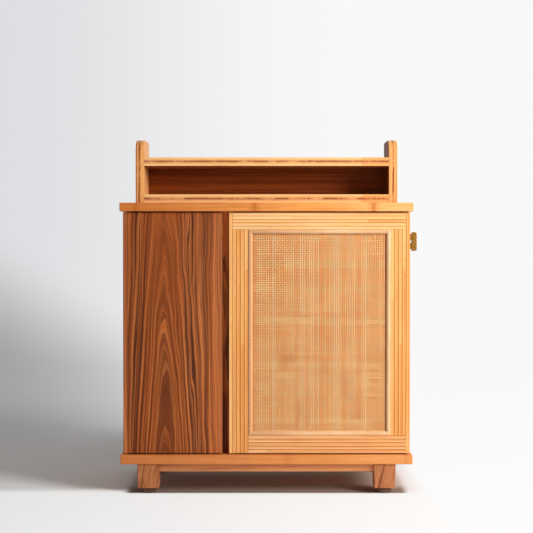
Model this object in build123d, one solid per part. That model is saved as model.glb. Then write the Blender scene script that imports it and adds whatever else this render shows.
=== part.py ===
from build123d import *
import os

# Free-standing cabinet on short legs: a walnut door, a cane door and a low open gallery on top.
# Frame: +Z up from the floor, the doors face -Y, the origin is on the floor at the middle of the footprint.
# All sizes are in millimetres.

# ---- overall ----
TOP_WIDTH = 700.0            # top board, the widest piece
DEPTH = 320.0                # top and base boards, front to back
BODY_WIDTH = 686.0           # outside of the side panels and of the two doors
BOARD = 20.5                 # bamboo board of the top and the gallery
PANEL = 20.0                 # side panels, divider and doors

# ---- heights ----
FOOT_HEIGHT = 14.0
LEG_HEIGHT = 58.0
BASE_THICKNESS = 22.0
BASE_NARROWER = 2.0          # base board, against the top board
TOP_ROUND = 1.5              # rounding of the edges of the top board
BASE_ROUND = 2.0             # and of the base board
DOOR_HEIGHT = 576.0
REVEAL = 3.0                 # gap above and below the doors

# ---- doors ----
WALNUT_DOOR_WIDTH = 237.0
FINGER_GAP = 16.0            # open strip between the two doors
DOOR_SETBACK = 10.0          # from the front of the top board to the face of the doors
DOOR_CLEARANCE = 3.0         # from the back of the doors to the carcass
LIPPING_LEFT = 10.5          # walnut lipping on the hinge edge
LIPPING_RIGHT = 3.0          # walnut lipping on the free edge

# ---- cane door frame ----
STRIPS = 5                   # laminations that make up each stile
STILE_WIDTH = 46.0           # visible, outer edge strip included
TOP_RAIL = 40.0
BOTTOM_RAIL = 42.5
BEAD_WIDTH = 10.0
BEAD_PROUD = 1.5             # crown of the bead above the face of the frame
BEAD_DROP = 0.3              # outer wall of the bead below the face of the frame
BEAD_CROWN = 0.45            # share of the bead's width at which it is highest
BEAD_EDGE = 1.6              # height of the bead's inner edge on the cane
LIP_DEPTH = 12.0             # wood left behind the rebate
BACKING_THICKNESS = 3.0
CANE_THICKNESS = 1.5
GROOVE_WIDTH = 1.2
GROOVE_DEPTH = 0.8
CANE_GAPS = (14, 21)         # gaps of the net, across and up
CANE_OPEN = 0.62             # share of each pitch that is open

# ---- gallery ----
GALLERY_WIDTH = 627.0
GALLERY_DEPTH = 115.0
GALLERY_HEIGHT = 152.5
GALLERY_SETBACK = 20.0       # from the front of the top board
GALLERY_CORNER = 35.0        # radius of the front top corner of each side
GALLERY_CLEAR = 68.0         # between the two shelves
GALLERY_BACK = 10.0
ARRIS = 0.6                  # small chamfer on the front edges of the gallery

# ---- carcass inside ----
TONGUE_WIDTH = 8.0
TONGUE_LENGTH = 6.0
TONGUE_STOP = 10.0           # from the end of a tongue to the edge of its board
BACK_THICKNESS = 6.0
BACK_INSET = 2.0
BACK_REBATE = 12.0
SHELF_THICKNESS = 18.0
SHELF_HEIGHT = 372.0
SHELF_SETBACK = 12.0
SHELF_CLEAR = 0.5            # between a shelf and each wall
SHELF_BACK_GAP = 1.0
SHELF_ROUND = 2.0
PIN_RADIUS = 2.5
PIN_HEAD_RADIUS = 4.0
PIN_HEAD_LENGTH = 7.0
PIN_ROW_INSET = 40.0         # from the front and rear of a wall to its rows of holes

# ---- underframe ----
LEG_SIZE = 52.0
LEG_TAPER = 1.5              # taken off each face at the foot
LEG_ARRIS = 1.2              # chamfer of the upright edges
LEG_SPAN = 618.0             # outside of the legs, left to right
LEG_SETBACK = 5.0
APRON_HEIGHT = 20.0
APRON_THICKNESS = 18.0
APRON_SETBACK = 10.0         # behind the face of the legs
APRON_ROUND = 1.5            # rounding of the lower edges
PAD_RADIUS = 18.0
PAD_RIM = 3.0                # rounding of the lower rim
PAD_CHAMFER = 1.0            # on the upper rim
PAD_RECESS = 5.0             # depth of the recess for the screw
PAD_RECESS_RADIUS = 5.5

# ---- brass fittings ----
PIVOT_INSET = 7.0            # hinge axis from the hinge edge of the door
PIVOT_DEPTH = 8.0            # hinge axis behind the face of the door
LEAF_WIDTH = 9.0
LEAF_REACH = 38.0
LEAF_THICKNESS = 2.5
PIN_SIZE = 2.0               # radius of the hinge pin
PIN_FIT = 0.05               # running clearance of the pin in the door leaf, on the radius
PIN_PAST_LEAF = 2.0          # how far the pin stands out of the door leaf, into the door
PIN_RELIEF = 1.0             # room around and beyond the end of the pin
MOVING_GAP = 0.3
PULL_HEIGHT = 45.0
PULL_CENTRE = 604.0          # height of the middle of the pull above the floor
PULL_POST = 4.8              # how far the posts stand off the edge of the door
PULL_GRIP = 12.0             # depth of the grip, outwards
PULL_THICKNESS = 11.0
PULL_BASE_HEIGHT = 36.0
PULL_NOTCH = 5.2             # open gap between the two posts
PULL_POST_THICKNESS = 8.0
PULL_POST_SUNK = 2.0         # how far a post runs into the grip
GRIP_OUTER_ROUND = 5.0       # rounding of the grip's outer ends
GRIP_SMALL_ROUND = 1.5       # and of its other ends and the posts
GRIP_RIM = 1.4               # and of its front and rear rims

# ---- levels and planes that follow ----
LEG_TOP = FOOT_HEIGHT + LEG_HEIGHT
BASE_TOP = LEG_TOP + BASE_THICKNESS
DOOR_BOTTOM = BASE_TOP + REVEAL
DOOR_TOP = DOOR_BOTTOM + DOOR_HEIGHT
TOP_UNDER = DOOR_TOP + REVEAL
TOP_TOP = TOP_UNDER + BOARD
FRONT = -DEPTH / 2
REAR = DEPTH / 2
DOOR_FRONT = FRONT + DOOR_SETBACK
DOOR_BACK = DOOR_FRONT + PANEL
CARCASS_FRONT = DOOR_BACK + DOOR_CLEARANCE
BACK_FRONT = REAR - BACK_INSET - BACK_THICKNESS
BODY = BODY_WIDTH / 2
INSIDE = BODY - PANEL
WALNUT_RIGHT = -BODY + WALNUT_DOOR_WIDTH
CANE_LEFT = WALNUT_RIGHT + FINGER_GAP
DIVIDER_MIDDLE = (WALNUT_RIGHT + CANE_LEFT) / 2
PIVOT_Y = DOOR_FRONT + PIVOT_DEPTH
WALNUT_PIVOT = -BODY + PIVOT_INSET
CANE_PIVOT = CANE_LEFT + PIVOT_INSET
LEG_X = (LEG_SPAN - LEG_SIZE) / 2
LEG_Y = REAR - LEG_SETBACK - LEG_SIZE / 2
GALLERY_FRONT = FRONT + GALLERY_SETBACK
GALLERY_REAR = GALLERY_FRONT + GALLERY_DEPTH
GALLERY_INSIDE = GALLERY_WIDTH / 2 - BOARD
LOWER_SHELF_TOP = TOP_TOP + BOARD
UPPER_SHELF_UNDER = LOWER_SHELF_TOP + GALLERY_CLEAR


def block(x, y, z):
    """A box between two limits on each axis."""
    size = [high - low for low, high in (x, y, z)]
    return Pos(x[0], y[0], z[0]) * Box(*size, align=(Align.MIN, Align.MIN, Align.MIN))


def rod(x, y, z, radius, length):
    """An upright cylinder that starts at height z."""
    return Pos(x, y, z) * Cylinder(radius, length, align=(Align.CENTER, Align.CENTER, Align.MIN))


def cut_by(solid, tools):
    """The solid with each tool taken out of it."""
    for tool in tools:
        solid = solid - tool
    return solid


def mirrored(solid):
    """The same solid on the other side of the middle plane."""
    return mirror(solid, about=Plane.YZ)


# ---- fasteners and hidden hardware ----
SCREW_HEAD = 3.6             # radii of a countersunk wood screw
SCREW_SHANK = 1.7
SCREW_RIM = 0.4
SCREW_POINT = 3.0
SCREW_SLOT = 0.9


def screw_hole(length):
    """The space that a countersunk screw fills: it points down, its head flush at height 0."""
    neck = -SCREW_RIM - (SCREW_HEAD - SCREW_SHANK)
    profile = Polyline(
        (0, 0), (SCREW_HEAD, 0), (SCREW_HEAD, -SCREW_RIM), (SCREW_SHANK, neck),
        (SCREW_SHANK, SCREW_POINT - length), (0, -length), close=True,
    )
    return revolve(make_face(Plane.XZ * profile), Axis.Z)


def wood_screw(length):
    """The screw itself, with a slot across its head."""
    return screw_hole(length) - Box(SCREW_HEAD * 2, SCREW_SLOT, 2 * SCREW_SLOT)


def hinge_outline(pivot_x, z, thickness):
    """A knife-hinge leaf: a bar with a round end about the pivot."""
    bar = block(
        (pivot_x, pivot_x + LEAF_REACH),
        (PIVOT_Y - LEAF_WIDTH / 2, PIVOT_Y + LEAF_WIDTH / 2),
        (z, z + thickness),
    )
    return bar + rod(pivot_x, PIVOT_Y, z, LEAF_WIDTH / 2, thickness)


LEAF_SCREWS = (14.0, 30.0)   # from the pivot
LEAF_SCREW_LENGTH = 12.0


def leaf_screw_places(pivot_x, top, on_door):
    """Where the two screws of a leaf sit: a leaf is screwed from the side that faces the gap."""
    if top:
        face, points_down = (DOOR_TOP, True) if on_door else (TOP_UNDER, False)
    else:
        face, points_down = (DOOR_BOTTOM, False) if on_door else (BASE_TOP, True)
    turn = Rot(0, 0, 0) if points_down else Rot(180, 0, 0)
    return [Pos(pivot_x + along, PIVOT_Y, face) * turn for along in LEAF_SCREWS]


def hinge_end(pivot_x, top):
    """Plate, pin, washer and door leaf of the hinge at one end of a door, with the spaces they need."""
    washer_height = REVEAL - MOVING_GAP
    if top:
        plate_z, leaf_z = TOP_UNDER, DOOR_TOP - LEAF_THICKNESS
        pin_z, washer_z = leaf_z - PIN_PAST_LEAF, TOP_UNDER - washer_height
        pin_length = plate_z + LEAF_THICKNESS - pin_z
        relief_z = pin_z - PIN_RELIEF
    else:
        plate_z, leaf_z = BASE_TOP - LEAF_THICKNESS, DOOR_BOTTOM
        pin_z, washer_z = plate_z, BASE_TOP
        pin_length = leaf_z + LEAF_THICKNESS + PIN_PAST_LEAF - pin_z
        relief_z = leaf_z + LEAF_THICKNESS
    plate_space = hinge_outline(pivot_x, plate_z, LEAF_THICKNESS)
    leaf_space = hinge_outline(pivot_x, leaf_z, LEAF_THICKNESS)
    pin = rod(pivot_x, PIVOT_Y, pin_z, PIN_SIZE, pin_length)
    relief = rod(pivot_x, PIVOT_Y, relief_z, PIN_SIZE + PIN_RELIEF, PIN_PAST_LEAF + PIN_RELIEF)
    pin_hole = rod(pivot_x, PIVOT_Y, leaf_z, PIN_SIZE + PIN_FIT, LEAF_THICKNESS)
    plate_screws = leaf_screw_places(pivot_x, top, False)
    door_screws = leaf_screw_places(pivot_x, top, True)
    holes = screw_hole(LEAF_SCREW_LENGTH)
    plate = cut_by(plate_space + pin, [place * holes for place in plate_screws])
    leaf = cut_by(leaf_space - pin_hole, [place * holes for place in door_screws])
    washer = rod(pivot_x, PIVOT_Y, washer_z, LEAF_WIDTH / 2, washer_height) - pin
    return {
        "plate": plate,
        "leaf": leaf,
        "washer": washer,
        "plate_screws": [place * wood_screw(LEAF_SCREW_LENGTH) for place in plate_screws],
        "door_screws": [place * wood_screw(LEAF_SCREW_LENGTH) for place in door_screws],
        "carcass_cuts": [plate_space] + [place * holes for place in plate_screws],
        "door_cuts": [leaf_space, relief] + [place * holes for place in door_screws],
    }


HINGES = {
    "walnut_top": hinge_end(WALNUT_PIVOT, True),
    "walnut_bottom": hinge_end(WALNUT_PIVOT, False),
    "cane_top": hinge_end(CANE_PIVOT, True),
    "cane_bottom": hinge_end(CANE_PIVOT, False),
}

# Magnetic catches sit under the top board, near the free edge of each door.
CATCH_LENGTH = 46.0
CATCH_DEPTH = 18.0
CATCH_HEIGHT = 14.0
CATCH_CORNER = 5.0           # rounding of the case at the back
POLE_PROUD = 1.5             # how far the poles stand out of the case
POLE_WIDTH = 28.0
POLE_DEPTH = 12.0
POLE_THICKNESS = 2.5
POLE_LEVELS = (2.5, 8.5)     # from the bottom of the case to the bottom of each pole
STRIKE_THICKNESS = 1.0
STRIKE_WIDTH = 38.0
STRIKE_BELOW = 6.5           # from the middle of the catch to the bottom of the plate
STRIKE_MARGIN = 0.5          # from the plate to the top of the door
STRIKE_CORNER = 2.0
CATCH_FRONT = DOOR_BACK + STRIKE_THICKNESS + MOVING_GAP
WALNUT_CATCH = WALNUT_RIGHT - 36.0
CANE_CATCH = BODY - 60.0


def catch(middle):
    """A magnetic catch: a case, rounded at the back, with two bare magnet poles at the front."""
    low = TOP_UNDER - CATCH_HEIGHT
    case = block(
        (middle - CATCH_LENGTH / 2, middle + CATCH_LENGTH / 2),
        (CATCH_FRONT + POLE_PROUD, CATCH_FRONT + CATCH_DEPTH),
        (low, TOP_UNDER),
    )
    back_corners = case.edges().filter_by(Axis.Z).group_by(Axis.Y)[-1]
    case = fillet(back_corners, CATCH_CORNER)
    poles = [
        block(
            (middle - POLE_WIDTH / 2, middle + POLE_WIDTH / 2),
            (CATCH_FRONT, CATCH_FRONT + POLE_DEPTH),
            (low + level, low + level + POLE_THICKNESS),
        )
        for level in POLE_LEVELS
    ]
    return case + poles[0] + poles[1]


def strike(middle):
    """The steel plate that a catch holds, screwed to the back of a door."""
    z = TOP_UNDER - CATCH_HEIGHT / 2
    plate = block(
        (middle - STRIKE_WIDTH / 2, middle + STRIKE_WIDTH / 2),
        (DOOR_BACK, DOOR_BACK + STRIKE_THICKNESS),
        (z - STRIKE_BELOW, DOOR_TOP - STRIKE_MARGIN),
    )
    return fillet(plate.edges().filter_by(Axis.Y), STRIKE_CORNER)


# ---- carcass ----
SIDE_TONGUE = (BODY - PANEL / 2 - TONGUE_WIDTH / 2, BODY - PANEL / 2 + TONGUE_WIDTH / 2)
TONGUE_RUN = (CARCASS_FRONT + TONGUE_STOP, BACK_FRONT - TONGUE_STOP)
TONGUE_LEVELS = (BASE_TOP - TONGUE_LENGTH, TOP_UNDER + TONGUE_LENGTH)


def tongues():
    """The tongues of both side panels and the divider, which the boards are grooved for."""
    right = block(SIDE_TONGUE, TONGUE_RUN, TONGUE_LEVELS)
    middle = (DIVIDER_MIDDLE - TONGUE_WIDTH / 2, DIVIDER_MIDDLE + TONGUE_WIDTH / 2)
    return [right, mirrored(right), block(middle, TONGUE_RUN, TONGUE_LEVELS)]


PIN_ROWS = (CARCASS_FRONT + PIN_ROW_INSET, BACK_FRONT - PIN_ROW_INSET)
PIN_DEPTH = 8.0
PIN_STEP = 32.0              # between the holes of a row
PIN_PLACES = (
    (-INSIDE, 1), (DIVIDER_MIDDLE - PANEL / 2, -1),
    (DIVIDER_MIDDLE + PANEL / 2, 1), (INSIDE, -1),
)


def shelf_pin(face_x, side, y):
    """A brass pin in its hole, with the wider head that the shelf rests on."""
    height = SHELF_HEIGHT - PIN_HEAD_RADIUS
    turn = Rot(0, 90 * side, 0)
    shank = Cylinder(PIN_RADIUS, PIN_DEPTH, align=(Align.CENTER, Align.CENTER, Align.MAX))
    head = Cylinder(
        PIN_HEAD_RADIUS, PIN_HEAD_LENGTH, align=(Align.CENTER, Align.CENTER, Align.MIN)
    )
    return Pos(face_x, y, height) * turn * (shank + head)


def shelf_pins():
    return [shelf_pin(x, side, y) for x, side in PIN_PLACES for y in PIN_ROWS]


def spare_pin_holes(face_x, side):
    """The other holes of a row, one step above and below the pins."""
    height = SHELF_HEIGHT - PIN_HEAD_RADIUS
    hole = Cylinder(PIN_RADIUS, PIN_DEPTH, align=(Align.CENTER, Align.CENTER, Align.MAX))
    return [
        Pos(face_x, y, height + step) * Rot(0, 90 * side, 0) * hole
        for y in PIN_ROWS
        for step in (-PIN_STEP, PIN_STEP)
    ]


def side_panel_right():
    panel = block((INSIDE, BODY), (CARCASS_FRONT, REAR), (BASE_TOP, TOP_UNDER))
    panel = panel + block(SIDE_TONGUE, TONGUE_RUN, TONGUE_LEVELS)
    rebate = block(
        (INSIDE, INSIDE + BACK_REBATE), (BACK_FRONT, REAR), (BASE_TOP, TOP_UNDER)
    )
    cuts = shelf_pins() + spare_pin_holes(INSIDE, -1) + back_screw_holes()
    return cut_by(panel - rebate, cuts)


def side_panel_left():
    return mirrored(side_panel_right())


def centre_divider():
    edges = (DIVIDER_MIDDLE - PANEL / 2, DIVIDER_MIDDLE + PANEL / 2)
    panel = block(edges, (CARCASS_FRONT, BACK_FRONT), (BASE_TOP, TOP_UNDER))
    panel = panel + tongues()[2]
    holes = spare_pin_holes(edges[0], -1) + spare_pin_holes(edges[1], 1)
    return cut_by(panel, shelf_pins() + holes + back_screw_holes())


BACK_SCREW_LENGTH = 16.0
BACK_SCREW_ROWS = 4
BACK_SCREW_EDGE = 40.0       # from the first and last screw to the boards


def back_screw_places():
    """Screws of the back panel: a column into each side and one into the divider."""
    edge = INSIDE + BACK_REBATE / 2
    low, high = BASE_TOP + BACK_SCREW_EDGE, TOP_UNDER - BACK_SCREW_EDGE
    step = (high - low) / (BACK_SCREW_ROWS - 1)
    return [
        Pos(x, BACK_FRONT + BACK_THICKNESS, low + row * step) * Rot(-90, 0, 0)
        for x in (-edge, DIVIDER_MIDDLE, edge)
        for row in range(BACK_SCREW_ROWS)
    ]


def back_screw_holes():
    return [place * screw_hole(BACK_SCREW_LENGTH) for place in back_screw_places()]


def back_panel():
    width = INSIDE + BACK_REBATE
    panel = block(
        (-width, width), (BACK_FRONT, BACK_FRONT + BACK_THICKNESS), (BASE_TOP, TOP_UNDER)
    )
    return cut_by(panel, back_screw_holes())


def shelf(left, right):
    """A loose shelf with a rounded front edge, a little clear of each wall."""
    board = block(
        (left + SHELF_CLEAR, right - SHELF_CLEAR),
        (CARCASS_FRONT + SHELF_SETBACK, BACK_FRONT - SHELF_BACK_GAP),
        (SHELF_HEIGHT, SHELF_HEIGHT + SHELF_THICKNESS),
    )
    return fillet(board.edges().filter_by(Axis.X).group_by(Axis.Y)[0], SHELF_ROUND)


def leg_bolt_places():
    return [(x, y) for x in (-LEG_X, LEG_X) for y in (-LEG_Y, LEG_Y)]


BOLT_RADIUS = 4.0
BOLT_IN_LEG = 30.0
BOLT_IN_BASE = 14.0


def leg_bolts():
    return [
        rod(x, y, LEG_TOP - BOLT_IN_LEG, BOLT_RADIUS, BOLT_IN_LEG + BOLT_IN_BASE)
        for x, y in leg_bolt_places()
    ]


DOWEL_RADIUS = 4.0
DOWEL_HALF = 12.0
DOWEL_INSET = 25.0           # from the front and rear of the gallery


def gallery_dowels():
    middle = GALLERY_INSIDE + BOARD / 2
    return [
        rod(x, y, TOP_TOP - DOWEL_HALF, DOWEL_RADIUS, 2 * DOWEL_HALF)
        for x in (-middle, middle)
        for y in (GALLERY_FRONT + DOWEL_INSET, GALLERY_REAR - DOWEL_INSET)
    ]


def softened_board(width, low, high, radius):
    """A board whose front and side edges are rounded and whose rear edges stay square."""
    board = block((-width / 2, width / 2), (FRONT, REAR), (low, high))
    board = fillet(board.edges().filter_by(Axis.Z).group_by(Axis.Y)[0], radius)
    faces = board.faces().filter_by(Axis.Z)
    rims = [edge for face in faces for edge in face.edges() if edge.center().Y < REAR - 0.1]
    return fillet(ShapeList(rims), radius)


def top_board():
    board = softened_board(TOP_WIDTH, TOP_UNDER, TOP_TOP, TOP_ROUND)
    cuts = tongues() + gallery_dowels()
    cuts += HINGES["walnut_top"]["carcass_cuts"] + HINGES["cane_top"]["carcass_cuts"]
    return cut_by(board, cuts)


def base_board():
    board = softened_board(TOP_WIDTH - BASE_NARROWER, LEG_TOP, BASE_TOP, BASE_ROUND)
    cuts = tongues() + leg_bolts()
    cuts += HINGES["walnut_bottom"]["carcass_cuts"] + HINGES["cane_bottom"]["carcass_cuts"]
    return cut_by(board, cuts)


# ---- underframe ----
TENON_LENGTH = 14.0
TENON_THICKNESS = 8.0
TENON_LEVELS = (LEG_TOP - APRON_HEIGHT + 3.0, LEG_TOP - 4.0)
APRON_HOUSING = 0.8          # how far a rail is let into the tapered face of a leg


def apron_long(side):
    """A rail between two legs along the front (side -1) or rear (side 1), with its tenons."""
    face = side * (LEG_Y + LEG_SIZE / 2 - APRON_SETBACK)
    y = sorted((face, face - side * APRON_THICKNESS))
    reach = LEG_X - LEG_SIZE / 2 + APRON_HOUSING
    rail = block((-reach, reach), y, (LEG_TOP - APRON_HEIGHT, LEG_TOP))
    middle = sum(y) / 2
    tenon = block(
        (-reach - TENON_LENGTH, reach + TENON_LENGTH),
        (middle - TENON_THICKNESS / 2, middle + TENON_THICKNESS / 2),
        TENON_LEVELS,
    )
    lower = rail.edges().filter_by(Axis.X).group_by(Axis.Z)[0]
    return fillet(lower, APRON_ROUND) + tenon


def apron_short(side):
    """A rail between two legs along the left (side -1) or right (side 1), with its tenons."""
    face = side * (LEG_X + LEG_SIZE / 2 - APRON_SETBACK)
    x = sorted((face, face - side * APRON_THICKNESS))
    reach = LEG_Y - LEG_SIZE / 2 + APRON_HOUSING
    rail = block(x, (-reach, reach), (LEG_TOP - APRON_HEIGHT, LEG_TOP))
    middle = sum(x) / 2
    tenon = block(
        (middle - TENON_THICKNESS / 2, middle + TENON_THICKNESS / 2),
        (-reach - TENON_LENGTH, reach + TENON_LENGTH),
        TENON_LEVELS,
    )
    lower = rail.edges().filter_by(Axis.Y).group_by(Axis.Z)[0]
    return fillet(lower, APRON_ROUND) + tenon


APRONS = {
    "apron_front": apron_long(-1),
    "apron_rear": apron_long(1),
    "apron_left": apron_short(-1),
    "apron_right": apron_short(1),
}


def foot_screw_place(x, y):
    """A foot screw points up from the bottom of the recess in its pad."""
    return Pos(x, y, PAD_RECESS) * Rot(180, 0, 0)


FOOT_SCREW_LENGTH = 24.0


def leg(x, y):
    """A square leg that narrows to the foot, cut for its two rails, its bolt and its foot screw."""
    foot = LEG_SIZE - 2 * LEG_TAPER
    upper = Pos(x, y, LEG_TOP) * Rectangle(LEG_SIZE, LEG_SIZE)
    lower = Pos(x, y, FOOT_HEIGHT) * Rectangle(foot, foot)
    post = loft([lower.faces()[0], upper.faces()[0]])
    post = chamfer(post.edges().group_by(Axis.Z)[1], LEG_ARRIS)
    cuts = list(APRONS.values()) + leg_bolts()
    cuts.append(foot_screw_place(x, y) * screw_hole(FOOT_SCREW_LENGTH))
    return cut_by(post, cuts)


def foot_pad(x, y):
    """A turned pad with a rounded rim and a recess for its screw."""
    pad = rod(x, y, 0, PAD_RADIUS, FOOT_HEIGHT)
    rims = pad.edges().filter_by(GeomType.CIRCLE).sort_by(Axis.Z)
    pad = fillet(rims[0], PAD_RIM)
    pad = chamfer(pad.edges().filter_by(GeomType.CIRCLE).sort_by(Axis.Z)[-1], PAD_CHAMFER)
    pad = pad - rod(x, y, 0, PAD_RECESS_RADIUS, PAD_RECESS)
    return pad - foot_screw_place(x, y) * screw_hole(FOOT_SCREW_LENGTH)


def foot_pad_screws():
    return [
        foot_screw_place(x, y) * wood_screw(FOOT_SCREW_LENGTH) for x, y in leg_bolt_places()
    ]


# ---- gallery ----
SHELF_TONGUE = 6.0


def gallery_shelf(low):
    """A gallery shelf that is tongued into both sides."""
    half = GALLERY_INSIDE
    board = block((-half, half), (GALLERY_FRONT, GALLERY_REAR), (low, low + BOARD))
    board = chamfer(board.edges().filter_by(Axis.X).group_by(Axis.Y)[0], ARRIS)
    tongue = block(
        (-half - SHELF_TONGUE, half + SHELF_TONGUE),
        (GALLERY_FRONT + TONGUE_STOP, GALLERY_REAR - TONGUE_STOP),
        (low + BOARD / 2 - TONGUE_WIDTH / 2, low + BOARD / 2 + TONGUE_WIDTH / 2),
    )
    return board + tongue


def gallery_side_right():
    """A side with a round front top corner, grooved for the shelves."""
    top = TOP_TOP + GALLERY_HEIGHT
    side = block(
        (GALLERY_INSIDE, GALLERY_INSIDE + BOARD), (GALLERY_FRONT, GALLERY_REAR), (TOP_TOP, top)
    )
    corner = side.edges().filter_by(Axis.X).group_by(Axis.Z)[-1].sort_by(Axis.Y)[0]
    side = fillet(corner, GALLERY_CORNER)
    rims = [
        edge
        for face in side.faces().filter_by(Axis.X)
        for edge in face.edges()
        if edge.center().Z > TOP_TOP + 1 and edge.center().Y < GALLERY_REAR - 1
    ]
    side = chamfer(ShapeList(rims), ARRIS)
    cuts = [gallery_shelf(TOP_TOP), gallery_shelf(UPPER_SHELF_UNDER)] + gallery_dowels()
    return cut_by(side, cuts)


def gallery_side_left():
    return mirrored(gallery_side_right())


def gallery_back_panel():
    return block(
        (-GALLERY_INSIDE, GALLERY_INSIDE),
        (GALLERY_REAR - GALLERY_BACK, GALLERY_REAR),
        (LOWER_SHELF_TOP, UPPER_SHELF_UNDER),
    )


# ---- walnut door ----
def v_groove_upright(x, z_low, z_high):
    """A V-shaped groove in the face of a door, running up it."""
    outline = Polyline(
        (-GROOVE_WIDTH / 2, 0), (GROOVE_WIDTH / 2, 0), (0, GROOVE_DEPTH), close=True
    )
    return Pos(x, DOOR_FRONT, z_low) * extrude(make_face(outline), z_high - z_low)


def v_groove_level(z, x_low, x_high):
    """A V-shaped groove in the face of a door, running across it."""
    outline = Plane.YZ * Polyline(
        (0, -GROOVE_WIDTH / 2), (0, GROOVE_WIDTH / 2), (GROOVE_DEPTH, 0), close=True
    )
    return Pos(x_low, DOOR_FRONT, z) * extrude(make_face(outline), x_high - x_low, dir=(1, 0, 0))


WALNUT_CUTS = HINGES["walnut_top"]["door_cuts"] + HINGES["walnut_bottom"]["door_cuts"]
WALNUT_SPLITS = (-BODY + LIPPING_LEFT, WALNUT_RIGHT - LIPPING_RIGHT)
OUTER_ROUND = 1.5


def door_piece(left, right):
    """An upright piece through the whole thickness and height of a door."""
    return block((left, right), (DOOR_FRONT, DOOR_BACK), (DOOR_BOTTOM, DOOR_TOP))


def rounded_outer(piece, side):
    """A door piece with the upright edges on its outer side rounded."""
    edges = piece.edges().filter_by(Axis.Z).group_by(Axis.X)[0 if side < 0 else -1]
    return fillet(edges, OUTER_ROUND)


LIPPING_GROOVE = v_groove_upright(WALNUT_SPLITS[0], DOOR_BOTTOM, DOOR_TOP)


def walnut_door_panel():
    return cut_by(door_piece(*WALNUT_SPLITS), WALNUT_CUTS + [LIPPING_GROOVE])


def walnut_lipping_left():
    lipping = rounded_outer(door_piece(-BODY, WALNUT_SPLITS[0]), -1)
    return cut_by(lipping, WALNUT_CUTS + [LIPPING_GROOVE])


def walnut_lipping_right():
    return rounded_outer(door_piece(WALNUT_SPLITS[1], WALNUT_RIGHT), 1)


# ---- cane door ----
CANE_CUTS = HINGES["cane_top"]["door_cuts"] + HINGES["cane_bottom"]["door_cuts"]
STRIP = STILE_WIDTH / STRIPS
REBATE_FLOOR = DOOR_BACK - LIP_DEPTH
FRAME_LEFT = CANE_LEFT + STRIP               # inside of the left edge strip
FRAME_RIGHT = BODY - STRIP
SIGHT_LEFT = CANE_LEFT + STILE_WIDTH         # visible inner edge of the frame
SIGHT_RIGHT = BODY - STILE_WIDTH
SIGHT_BOTTOM = DOOR_BOTTOM + BOTTOM_RAIL
SIGHT_TOP = DOOR_TOP - TOP_RAIL
LIP_LEFT = SIGHT_LEFT + BEAD_WIDTH           # inner edge of the lip behind the bead
LIP_RIGHT = SIGHT_RIGHT - BEAD_WIDTH
LIP_BOTTOM = SIGHT_BOTTOM + BEAD_WIDTH
LIP_TOP = SIGHT_TOP - BEAD_WIDTH
FACE_LAYER = (DOOR_FRONT, REBATE_FLOOR)
BACK_LAYER = (REBATE_FLOOR, DOOR_BACK)


def stile_grooves(first_x, low, high):
    """Grooves between the laminations of a stile, edge strip joint included."""
    return [v_groove_upright(first_x + step * STRIP, low, high) for step in range(STRIPS - 1)]


def cane_door_edge_strip_left():
    strip = rounded_outer(door_piece(CANE_LEFT, FRAME_LEFT), -1)
    return cut_by(strip, CANE_CUTS + [v_groove_upright(FRAME_LEFT, DOOR_BOTTOM, DOOR_TOP)])


def cane_door_edge_strip_right():
    strip = rounded_outer(door_piece(FRAME_RIGHT, BODY), 1)
    return cut_by(strip, [v_groove_upright(FRAME_RIGHT, DOOR_BOTTOM, DOOR_TOP)] + pull_studs())


def cane_door_stile_left():
    """The left stile: its face runs to the foot of the door, its back layer to the top."""
    face = block((FRAME_LEFT, SIGHT_LEFT), FACE_LAYER, (DOOR_BOTTOM, SIGHT_TOP))
    back = block((FRAME_LEFT, LIP_LEFT), BACK_LAYER, (LIP_BOTTOM, DOOR_TOP))
    cuts = stile_grooves(FRAME_LEFT, DOOR_BOTTOM, SIGHT_TOP)
    cuts += [v_groove_upright(SIGHT_LEFT, DOOR_BOTTOM, SIGHT_BOTTOM)]
    cuts += [v_groove_level(SIGHT_TOP, FRAME_LEFT, SIGHT_LEFT)]
    return cut_by(face + back, CANE_CUTS + cuts)


def cane_door_stile_right():
    """The right stile: both rails pass over its face, its back layer runs the full height."""
    face = block((SIGHT_RIGHT, FRAME_RIGHT), FACE_LAYER, (SIGHT_BOTTOM, SIGHT_TOP))
    back = block((LIP_RIGHT, FRAME_RIGHT), BACK_LAYER, (DOOR_BOTTOM, DOOR_TOP))
    cuts = stile_grooves(SIGHT_RIGHT + STRIP, SIGHT_BOTTOM, SIGHT_TOP)
    cuts += [v_groove_level(z, SIGHT_RIGHT, FRAME_RIGHT) for z in (SIGHT_BOTTOM, SIGHT_TOP)]
    return cut_by(face + back, cuts + pull_studs())


def rail_grooves(low, high, left, right):
    """Grooves between the strips of a rail."""
    step = (high - low) / STRIPS
    return [v_groove_level(low + count * step, left, right) for count in range(1, STRIPS)]


def cane_door_rail_top():
    """The top rail: its face passes over both stiles, its back layer fits between them."""
    face = block((FRAME_LEFT, FRAME_RIGHT), FACE_LAYER, (SIGHT_TOP, DOOR_TOP))
    back = block((LIP_LEFT, LIP_RIGHT), BACK_LAYER, (LIP_TOP, DOOR_TOP))
    cuts = rail_grooves(SIGHT_TOP, DOOR_TOP, FRAME_LEFT, FRAME_RIGHT)
    cuts += [
        v_groove_level(SIGHT_TOP, FRAME_LEFT, SIGHT_LEFT),
        v_groove_level(SIGHT_TOP, SIGHT_RIGHT, FRAME_RIGHT),
        v_groove_upright(FRAME_LEFT, SIGHT_TOP, DOOR_TOP),
        v_groove_upright(FRAME_RIGHT, SIGHT_TOP, DOOR_TOP),
    ]
    return cut_by(face + back, CANE_CUTS + cuts)


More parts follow.
